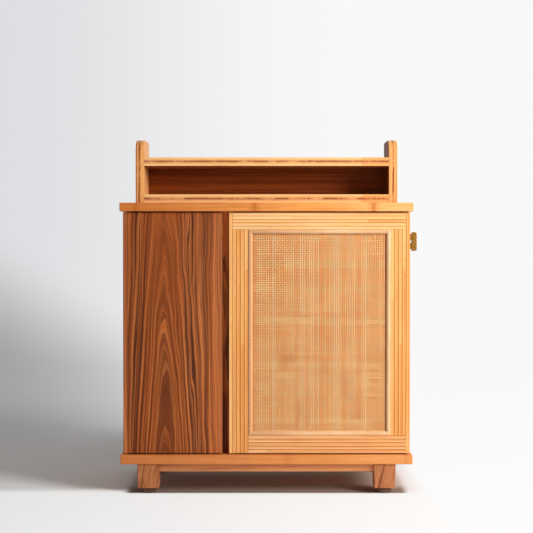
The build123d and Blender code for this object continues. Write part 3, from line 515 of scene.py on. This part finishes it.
STAINED_TONES = ((106, 42, 3), (146, 68, 12))
STAINED_FINE = (80, 32, 3)


def dark_panel(name, along, across):
    """A dark stained panel, its grain along the first direction."""
    finish = Finish(name, Specular_IOR_Level=DULL)
    place = finish.place()
    spot = (place[along], place[across], place["Y"])
    bands = finish.grain(spot, (2.2, 160, 40), 4.0, 0.68)
    fine = finish.grain(spot, (20, 900, 200), 2.0, 0.6)
    dark, warm = STAINED_TONES
    colour = finish.mix(finish.ease(bands, 0.32, 0.66), tone(*dark), tone(*warm))
    colour = finish.mix(finish.ease(fine, 0.5, 0.75) * 0.4, colour, tone(*STAINED_FINE))
    return finish.feed(
        Base_Color=colour,
        Roughness=0.46 + fine * 0.15,
        Normal=finish.relief(fine * 0.7 + bands * 0.3, 0.15 * MM, 0.3),
    )


THIN_PLY_FINE = (84, 42, 20)


def thin_ply(name, light, dark):
    """Thin ply or a dowel's wood, with upright grain."""
    finish = Finish(name, Specular_IOR_Level=WOOD_GLOSS)
    spot = tuple(finish.place().values())
    bands = finish.grain(spot, (95, 95, 2.4), 3.0, 0.6)
    fine = finish.grain(spot, (900, 900, 20), 2.0, 0.6)
    colour = finish.mix(finish.ease(bands, 0.3, 0.7), tone(*light), tone(*dark))
    colour = finish.mix(finish.ease(fine, 0.5, 0.75) * 0.35, colour, tone(*THIN_PLY_FINE))
    return finish.feed(
        Base_Color=colour,
        Roughness=0.55 + fine * 0.15,
        Normal=finish.relief(fine, 0.12 * MM, 0.3),
    )


# ---- fittings ----
BRASS = (172, 124, 56)
BRASS_BLOOM = (118, 78, 26)
BRASS_RUBBED = (220, 176, 100)
ZINC_TONES = ((196, 197, 196), (150, 152, 156))
MOULDED_ROUGHNESS = 0.5


def worn_brass(name):
    """Satin brass with a brown bloom in patches and fine rubbed lines."""
    finish = Finish(name, Metallic=1.0)
    spot = tuple(finish.place().values())
    bloom = finish.noise(finish.point(*spot), 250.0, 4.0, 0.65)
    rub = finish.grain(spot, (1400, 1400, 160), 2.0, 0.6)
    colour = finish.mix(finish.ease(bloom, 0.4, 0.66), tone(*BRASS), tone(*BRASS_BLOOM))
    colour = finish.mix(finish.ease(rub, 0.55, 0.75) * 0.35, colour, tone(*BRASS_RUBBED))
    return finish.feed(
        Base_Color=colour,
        Roughness=0.22 + bloom * 0.28,
        Normal=finish.relief(bloom * 0.6 + rub * 0.4, 0.12 * MM, 0.3),
    )


def zinc_steel(name):
    """Zinc-plated steel with a faint spangle."""
    finish = Finish(name, Metallic=1.0)
    bloom = finish.noise(finish.point(*finish.place().values()), 260.0, 3.0, 0.6)
    bright, dull = ZINC_TONES
    colour = finish.mix(finish.ease(bloom, 0.35, 0.7), tone(*bright), tone(*dull))
    return finish.feed(
        Base_Color=colour,
        Roughness=0.28 + bloom * 0.2,
        Normal=finish.relief(bloom, 0.05 * MM, 0.3),
    )


def moulded(name, light, dark):
    """A moulded piece with a fine pebbled skin."""
    finish = Finish(name)
    spot = finish.point(*finish.place().values())
    skin = finish.noise(spot, 1900.0, 2.0, 0.5)
    patches = finish.noise(spot, 60.0, 3.0, 0.6)
    colour = finish.mix(finish.ease(patches, 0.35, 0.7), tone(*light), tone(*dark))
    return finish.feed(
        Base_Color=colour,
        Roughness=MOULDED_ROUGHNESS + patches * 0.15,
        Normal=finish.relief(skin, 0.06 * MM, 0.35),
    )


# ---- which piece has which finish ----
# Of bamboo the tones are pale, honey, amber and mark or core; of the legs light, middle and dark.
BOARD_TONES = ((255, 198, 130), (238, 158, 80), (198, 106, 42), (186, 92, 36))
BASE_TONES = ((240, 170, 104), (224, 144, 78), (188, 102, 46), (178, 92, 42))
STRIP_TONES = ((252, 196, 126), (232, 154, 78), (206, 124, 54), (176, 102, 46))
PLY_TONES = ((255, 200, 134), (242, 170, 98), (210, 122, 56), (132, 50, 14))
PANEL_TONES = ((232, 168, 98), (218, 144, 74), (190, 112, 50), (180, 96, 40))
RAIL_TONES = ((255, 218, 160), (246, 182, 112), (224, 150, 82), (188, 116, 58))
LOW_RAIL_TONES = ((248, 200, 144), (234, 162, 96), (206, 130, 68), (176, 104, 50))
LEG_TONES = ((190, 120, 76), (168, 98, 57), (108, 54, 24))
LEFT_LEG_TONES = ((190, 120, 74), (154, 87, 46), (82, 38, 14))
APRON_TONES = ((224, 150, 98), (202, 128, 78), (150, 86, 46))
RAIL_LEAN = 0.01
LEG_LEAN = 0.2
LEFT_LEG_STREAK = (-0.3027, 0.148, 1.6 * MM)
RIGHT_LEG_STREAK = (0.2672, 0.203, 2.4 * MM)
# the backing is a real panel; its dark tones are painted shade, seen through the holes of the weave
BACKING_SHADE_TONES = ((74, 34, 14), (52, 22, 8))
CORE_TONES = ((196, 122, 70), (158, 88, 46))
DOWEL_TONES = ((226, 170, 112), (196, 134, 80))
CATCH_TONES = ((52, 30, 20), (36, 20, 14))
PAD_TONES = ((104, 60, 36), (66, 34, 18))

BOARD_EDGE = -5.0 * MM           # where the top and base boards' strips are counted from
BOARD_STRIP = 20.0 * MM
STILE_STRIP = 9.2 * MM
TOP_RAIL_STRIP = 8.0 * MM
LOW_RAIL_STRIP = 8.5 * MM
LIP = 10.0 * MM                  # how far the top rail's lip reaches down behind the bead
GALLERY_THICKNESS = 20.5 * MM
# The ply's layers: centre, half width, strength and how broken.
LEFT_LAYERS = ((0.09, 0.1, 0.75, 0.5), (0.42, 0.11, 0.9, 0.85), (0.56, 0.05, 0.4, 0.3))
RIGHT_LAYERS = ((0.12, 0.05, 0.4, 0.3), (0.52, 0.13, 0.9, 0.85), (0.9, 0.05, 0.5, 0.3))
UPPER_LAYERS = ((0.3, 0.05, 0.35, 0.6), (0.5, 0.1, 0.9, 0.9), (0.66, 0.06, 0.6, 0.6))
LOWER_LAYERS = ((0.36, 0.07, 0.55, 0.6), (0.52, 0.1, 0.9, 0.9), (0.68, 0.05, 0.35, 0.6))


def lowest(node):
    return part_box(node)[0]


def board_finishes():
    """Each board's finish, with its own strips, layers and grain direction."""
    face = lowest("cane_door_stile_left").y
    top = lowest("cane_door_rail_top").z + LIP
    bottom = lowest("cane_door_rail_bottom").z
    # the frame's strips carry a painted highlight along one side
    grooved = dict(joint=0.8, joint_width=1.5 * MM, marks=0.12, strip_highlight=0.5, face=face)
    stiles = dict(
        along="Z", across="X", strip=STILE_STRIP, colours=STRIP_TONES, length=0.47, **grooved
    )
    boards = dict(along="X", across="Y", origin=BOARD_EDGE, strip=BOARD_STRIP, length=7.0)
    inside = dict(
        across="Y", origin=0.0, strip=BOARD_STRIP, colours=PANEL_TONES, mark_step=0.37, marks=0.6,
        scatter=1.0,
    )
    gallery = dict(thickness=GALLERY_THICKNESS, colours=PLY_TONES)
    left = lowest("gallery_side_left").x
    right = lowest("gallery_side_right").x
    lower = lowest("gallery_lower_shelf").z
    upper = lowest("gallery_upper_shelf").z
    made = {
        # the top and base boards carry painted shade to the left and painted light to the right
        "top_board": bamboo(
            "bamboo_top", colours=BOARD_TONES, mark_at=0.255, painted_side_shade=0.75, contrast=1.25, **boards
        ),
        "base_board": bamboo(
            "bamboo_base", colours=BASE_TONES, mark_at=0.05, contrast=0.8, marks=0.3, painted_side_shade=0.5,
            **boards
        ),
        "side_panel_left": bamboo("bamboo_side", along="Z", mark_at=0.1, **inside),
        "shelf_left": bamboo("bamboo_shelf", along="X", mark_at=0.08, **inside),
        "cane_door_stile_left": bamboo("strips_left_stile", origin=-0.0808, mark_at=0.21, **stiles),
        "cane_door_stile_right": bamboo("strips_right_stile", origin=0.297, mark_at=0.36, **stiles),
        "cane_door_rail_top": bamboo(
            "strips_top_rail", "X", "Z", top, TOP_RAIL_STRIP, RAIL_TONES, mark_at=-0.035,
            length=0.41, amber_run=(2, 0.2424), **grooved
        ),
        "cane_door_rail_bottom": bamboo(
            "strips_bottom_rail", "X", "Z", bottom, LOW_RAIL_STRIP, LOW_RAIL_TONES, mark_at=0.12,
            length=0.43, **grooved
        ),
        # the gallery's inner faces and the upper shelf's underside carry painted shade
        "gallery_side_left": bamboo_ply(
            "ply_gallery_left", "Z", "Y", "X", left, layers=LEFT_LAYERS, painted_shade_faces=(0.0, 0.35), **gallery
        ),
        "gallery_side_right": bamboo_ply(
            "ply_gallery_right", "Z", "Y", "X", right, layers=RIGHT_LAYERS, painted_shade_faces=(1.0, 0.0),
            **gallery
        ),
        "gallery_lower_shelf": bamboo_ply(
            "ply_gallery_lower", "X", "Y", "Z", lower, layers=LOWER_LAYERS, **gallery
        ),
        "gallery_upper_shelf": bamboo_ply(
            "ply_gallery_upper", "X", "Y", "Z", upper, layers=UPPER_LAYERS, painted_shade_faces=(0.9, 0.0),
            **gallery
        ),
    }
    made["side_panel_right"] = made["side_panel_left"]
    made["shelf_right"] = made["shelf_left"]
    made["cane_door_edge_strip_left"] = made["cane_door_stile_left"]
    made["cane_door_edge_strip_right"] = made["cane_door_stile_right"]
    return made


def other_finishes():
    """The finishes of the walnut, the underframe, the bead and the fittings, by node."""
    door = walnut("walnut_door", heart=-0.245)
    edge = walnut("walnut_edges", heart=-0.62, turn=0.4)
    divider = walnut("walnut_divider", heart=0.03, turn=0.2, level=1.3, across="Y")
    bead_upright = pale_bead("bead_upright", "Z")
    bead_level = pale_bead("bead_level", "X")
    long_rail = leg_wood("rail_long", "X", RAIL_LEAN, APRON_TONES)
    short_rail = leg_wood("rail_short", "Y", RAIL_LEAN, APRON_TONES)
    left_leg = leg_wood("leg_left", "Z", LEG_LEAN, LEFT_LEG_TONES, LEFT_LEG_STREAK)
    right_leg = leg_wood("leg_right", "Z", LEG_LEAN, LEG_TONES, RIGHT_LEG_STREAK)
    dark = dark_panel("dark_level", "X", "Z")
    brass = worn_brass("worn_brass")
    steel = zinc_steel("zinc_steel")
    case = moulded("catch_case", *CATCH_TONES)
    return {
        "walnut_door_panel": door,
        "walnut_lipping_left": edge,
        "walnut_lipping_right": door,
        "centre_divider": divider,
        "back_panel": dark,
        "gallery_back_panel": dark,
        "bead_left": bead_upright,
        "bead_right": bead_upright,
        "bead_top": bead_level,
        "bead_bottom": bead_level,
        # the backing's dark tones are painted shade for the holes of the weave
        "cane_backing_panel": thin_ply("shaded_backing_ply", *BACKING_SHADE_TONES),
        "cane_panel": thin_ply("cane_core", *CORE_TONES),
        "apron_front": long_rail,
        "apron_rear": long_rail,
        "apron_left": short_rail,
        "apron_right": short_rail,
        "leg_front_left": left_leg,
        "leg_front_right": right_leg,
        "leg_rear_left": left_leg,
        "leg_rear_right": right_leg,
        "foot_pads": moulded("foot_pad", *PAD_TONES),
        "catch_walnut_door": case,
        "catch_cane_door": case,
        "strike_walnut_door": steel,
        "strike_cane_door": steel,
        "back_panel_screws": steel,
        "foot_pad_screws": steel,
        "leg_bolts": steel,
        "gallery_dowels": thin_ply("dowel_wood", *DOWEL_TONES),
        "edge_pull": brass,
        "pull_studs": brass,
    }


def dress_nodes():
    """Gives every CAD node its finish: what isn't named here is brass, as the pull is."""
    finishes = {**board_finishes(), **other_finishes()}
    brass = finishes["edge_pull"]
    for name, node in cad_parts.items():
        node.data.materials.clear()
        node.data.materials.append(finishes.get(name, brass))


# ---- modelling helpers ----
def start_clean():
    if bpy.context.object and bpy.context.object.mode != "OBJECT":
        bpy.ops.object.mode_set(mode="OBJECT")
    bpy.ops.object.select_all(action="DESELECT")


def settle(name):
    """Applies the active piece's place, turn and size, and names it."""
    piece = bpy.context.object
    piece.name = name
    piece.data.name = name
    bpy.ops.object.transform_apply(location=True, rotation=True, scale=True)
    return piece


def apply_all(piece):
    bpy.ops.object.select_all(action="DESELECT")
    piece.select_set(True)
    bpy.context.view_layer.objects.active = piece
    for modifier in list(piece.modifiers):
        bpy.ops.object.modifier_apply(modifier=modifier.name)


# ---- the woven cane ----
def strand(name, start, turn, along, lift, crossings, pitch, parity):
    """One strand, drawn along from start: it passes in front of and behind the strands it meets.

    With parity it starts in front."""
    start_clean()
    bpy.ops.mesh.primitive_circle_add(
        vertices=6, radius=0.5, fill_type="NGON", location=start, rotation=turn
    )
    bpy.context.object.scale = (STRAND_THICKNESS / HEXAGON_FLATS, STRAND_WIDTH, 1.0)
    piece = settle(name)
    along, lift = Vector(along), Vector(lift)
    rest = pitch * STRAND_REST
    first = side = 1 if parity else -1
    steps = [along * rest]
    for crossing in range(crossings - 1):
        steps.append(along * (pitch - 2 * rest) - lift * (2 * side))
        steps.append(along * (2 * rest))
        side = -side
    bpy.ops.object.mode_set(mode="EDIT")
    bpy.ops.mesh.select_all(action="SELECT")
    bpy.ops.transform.translate(value=lift * first)
    for step in steps:
        bpy.ops.mesh.extrude_region_move(TRANSFORM_OT_translate={"value": step})
    bpy.ops.mesh.select_all(action="SELECT")
    bpy.ops.mesh.normals_make_consistent(inside=False)
    bpy.ops.object.mode_set(mode="OBJECT")
    bpy.ops.object.shade_smooth_by_angle(angle=SMOOTH_ANGLE)
    return piece


def repeated(piece, count, step):
    row = piece.modifiers.new("row", "ARRAY")
    row.count = count
    row.use_relative_offset = False
    row.use_constant_offset = True
    row.constant_offset_displace = step
    apply_all(piece)
    return piece


def joined(name, pieces):
    start_clean()
    for piece in pieces:
        piece.select_set(True)
    bpy.context.view_layer.objects.active = pieces[0]
    bpy.ops.object.join()
    pieces[0].name = name
    return pieces[0]


def wander(piece):
    """Strands aren't quite straight or evenly spaced: the same drift moves both sets of strands."""
    for axis, size in WANDER_SIZES.items():
        clouds = bpy.data.textures.new("wander_" + axis, "CLOUDS")
        clouds.noise_scale = size
        drift = piece.modifiers.new("drift_" + axis, "DISPLACE")
        drift.texture = clouds
        drift.texture_coords = "LOCAL"
        drift.direction = axis
        drift.strength = CANE_WANDER
        drift.mid_level = 0.5
    apply_all(piece)


def weave_cane():
    """Both sets of strands, in front of the backing panel and under the bead."""
    low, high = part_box("cane_panel")
    middle = (low + high) / 2
    left = middle.x - (CANE_COLUMNS - 1) * COLUMN_PITCH / 2
    foot = middle.z - (CANE_ROWS - 1) * ROW_PITCH / 2
    quarter = math.pi / 2
    forward = (0.0, -STRAND_LIFT, 0.0)
    uprights, levels = [], []
    for parity in (0, 1):
        count = (CANE_COLUMNS + 1 - parity) // 2
        start = (left + parity * COLUMN_PITCH, middle.y, foot)
        piece = strand(
            "upright", start, (0.0, 0.0, quarter), (0, 0, 1), forward, CANE_ROWS, ROW_PITCH,
            parity == 0,
        )
        uprights.append(repeated(piece, count, (2 * COLUMN_PITCH, 0.0, 0.0)))
    for parity in (0, 1):
        count = (CANE_ROWS + 1 - parity) // 2
        start = (left, middle.y, foot + parity * ROW_PITCH)
        piece = strand(
            "level", start, (quarter, 0.0, quarter), (1, 0, 0), forward, CANE_COLUMNS,
            COLUMN_PITCH, parity == 1,
        )
        levels.append(repeated(piece, count, (0.0, 0.0, 2 * ROW_PITCH)))
    for name, pieces, along, first, pitch in (
        ("cane_uprights", uprights, "Z", left, COLUMN_PITCH),
        ("cane_levels", levels, "X", foot, ROW_PITCH),
    ):
        cane = joined(name, pieces)
        wander(cane)
        cane.data.materials.clear()
        cane.data.materials.append(woven_cane(name + "_finish", along, first, pitch))
        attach(cane, "cane_door")
        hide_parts("cane_panel")


# ---- stage ----
FLOOR_SPAN = 14.0
COVE_AT = 2.9
COVE_RADIUS = 1.6
COVE_STEPS = 24
WALL_TOP = 4.5

PAPER = (250, 249, 248)
# the tones of the painted shadow on the paper under the cabinet, at its rear and at its front
PAINTED_SHADOW_REAR = (208, 197, 188)
PAINTED_SHADOW_FRONT = (142, 124, 112)
# the backdrop's white, greyer on the left as painted shade, and on the right
SHADED_WHITE_LEFT = (226, 227, 230)
WHITE_RIGHT = (252, 252, 252)
# Where the paper whitens, from the first place to the second.
RING = (0.6, 1.1)                # distance from the cabinet's middle
OUT_OF_SHADOW = (-0.35, 0.42)    # across the shadow, towards the lamp
IN_FRONT = (-0.085, -0.15)       # y
FAR_IN_FRONT = (-1.2, -3.0)      # y
RIGHT = (0.33, 0.4)              # x
FAR_LEFT = (-1.85, -3.0)         # x
LEFT_TO_RIGHT = (-1.7, 0.4)      # x, from the left white, greyed as painted shade, to the right one
# The soft edges of the painted shadow on the paper under the cabinet, and where it goes from its rear
# to its front tone.
UNDER_SIDES = (0.325, 0.35)
UNDER_FRONT = (-0.152, -0.138)
UNDER_REAR = (0.12, 0.16)
UNDER_SHADE = (-0.04, -0.11)


def seen_directly(nodes):
    """1 for what the camera, a mirror or a clear piece sees, and 0 for the light that it throws."""
    camera, mirror, clear = [
        nodes.node("LightPath", {}, {}, ray)
        for ray in ("Is Camera Ray", "Is Glossy Ray", "Is Transmission Ray")
    ]
    return nodes.math("MAXIMUM", camera, nodes.math("MAXIMUM", mirror, clear))


def studio_pale():
    """Pale paper that keeps the cabinet's shadow, has a painted shadow right under it, and whitens
    round it.

    Where it whitens, the camera sees white, greyed towards the left as painted shade, and the paper
    still takes and throws light."""
    finish = Finish("studio_pale", Roughness=0.8, Specular_IOR_Level=0.2)
    place = finish.place()
    x, y, z = place["X"], place["Y"], place["Z"]
    away = finish.ease(finish.math("SQRT", x * x + y * y), *RING)
    clear = finish.ease(x * 0.55 + y * 0.16 + z * 0.9, *OUT_OF_SHADOW, 0.0, 0.92)
    front = finish.ease(y, *IN_FRONT, 0.0, 0.72) + finish.ease(y, *FAR_IN_FRONT, 0.0, 0.28)
    right = finish.ease(x, *RIGHT, 0.0, 0.95)
    # painted shadow on the paper right under the cabinet
    below = finish.ease(finish.math("ABSOLUTE", x), *UNDER_SIDES, 1.0, 0.0)
    below = below * finish.ease(y, *UNDER_FRONT) * finish.ease(y, *UNDER_REAR, 1.0, 0.0)
    far_left = finish.ease(x, *FAR_LEFT)
    share = finish.math("MAXIMUM", away * clear, finish.math("MAXIMUM", front, right))
    share = finish.math("MAXIMUM", share, far_left)
    share = share * (1 - below)
    painted_shade = finish.mix(
        finish.ease(y, *UNDER_SHADE), tone(*PAINTED_SHADOW_REAR), tone(*PAINTED_SHADOW_FRONT)
    )
    finish.feed(Base_Color=finish.mix(below, tone(*PAPER), painted_shade))
    bright = finish.math(
        "MAXIMUM", finish.ease(x, *LEFT_TO_RIGHT), finish.ease(y, *FAR_IN_FRONT)
    )
    bright = finish.math("MAXIMUM", bright, far_left)
    # the white that the camera sees, greyer to the left as painted shade
    glow = finish.mix(bright, tone(*SHADED_WHITE_LEFT), tone(*WHITE_RIGHT))
    white = finish.node("Emission", {}, {"Color": glow, "Strength": 1.0})
    lit = Wire(finish, finish.shader.outputs[0])
    both = finish.node("MixShader", {}, {0: seen_directly(finish) * share, 1: lit, 2: white})
    finish.plug(finish.tree.nodes["Material Output"].inputs["Surface"], both)
    return finish.material


def studio_sheet():
    """The floor, a wide cove and the wall behind, as one pale sheet."""
    start_clean()
    bpy.ops.mesh.primitive_plane_add(size=1.0, location=(0.0, 0.0, 0.0))
    sheet = bpy.context.object
    sheet.name = "studio_sheet"
    sheet.scale = (2 * FLOOR_SPAN, FLOOR_SPAN + COVE_AT, 1.0)
    sheet.location = (0.0, (COVE_AT - FLOOR_SPAN) / 2, 0.0)
    bpy.ops.object.transform_apply(location=True, rotation=True, scale=True)
    bpy.ops.object.mode_set(mode="EDIT")
    bpy.ops.mesh.select_all(action="DESELECT")
    bpy.ops.mesh.select_mode(type="EDGE")
    bpy.ops.object.mode_set(mode="OBJECT")
    for edge in sheet.data.edges:
        ends = [sheet.data.vertices[end].co.y for end in edge.vertices]
        edge.select = min(ends) > COVE_AT - 10.0 * MM
    bpy.ops.object.mode_set(mode="EDIT")
    bpy.ops.mesh.spin(
        steps=COVE_STEPS, angle=-math.pi / 2, center=(0.0, COVE_AT, COVE_RADIUS),
        axis=(1.0, 0.0, 0.0),
    )
    bpy.ops.mesh.extrude_edges_move(
        TRANSFORM_OT_translate={"value": (0.0, 0.0, WALL_TOP - COVE_RADIUS)}
    )
    bpy.ops.mesh.select_all(action="SELECT")
    bpy.ops.mesh.normals_make_consistent(inside=False)
    bpy.ops.object.mode_set(mode="OBJECT")
    bpy.ops.object.shade_smooth()
    sheet.data.materials.append(studio_pale())


def hang_the_lamp():
    """One large soft lamp, high on the right in front."""
    light = bpy.data.lights.new("key", "AREA")
    light.shape = "SQUARE"
    light.size = KEY_SIZE
    light.energy = KEY_POWER
    light.color = KEY_COLOUR
    lamp = bpy.data.objects.new("key", light)
    bpy.context.scene.collection.objects.link(lamp)
    lamp.location = KEY_PLACE
    aim = Vector(KEY_AIM) - Vector(KEY_PLACE)
    lamp.rotation_euler = aim.to_track_quat("-Z", "Y").to_euler()
    lamp.visible_camera = False


def light_the_room():
    """Even soft light from all round, in a room that the camera and the brass see as white."""
    world = bpy.data.worlds.new("room")
    bpy.context.scene.world = world
    world.use_nodes = True
    room = Nodes(world.node_tree)
    room.tree.nodes.remove(room.tree.nodes["Background"])
    soft = room.node("Background", {}, {"Color": tone(255, 255, 255), "Strength": WORLD_LEVEL})
    white = room.node("Background", {}, {"Color": tone(*ROOM_WHITE), "Strength": 1.0})
    both = room.node("MixShader", {}, {0: seen_directly(room), 1: soft, 2: white})
    room.plug(room.tree.nodes["World Output"].inputs["Surface"], both)


def set_camera():
    lens = bpy.data.cameras.new("camera")
    lens.lens = LENS
    lens.sensor_width = SENSOR
    camera = bpy.data.objects.new("camera", lens)
    bpy.context.scene.collection.objects.link(camera)
    camera.location = CAMERA_PLACE
    camera.rotation_euler = (math.radians(90 - CAMERA_TILT), 0.0, 0.0)
    bpy.context.scene.camera = camera


set_camera()
start_clean()
dress_nodes()
weave_cane()
studio_sheet()
light_the_room()
hang_the_lamp()
bpy.context.scene.view_settings.view_transform = "Standard"
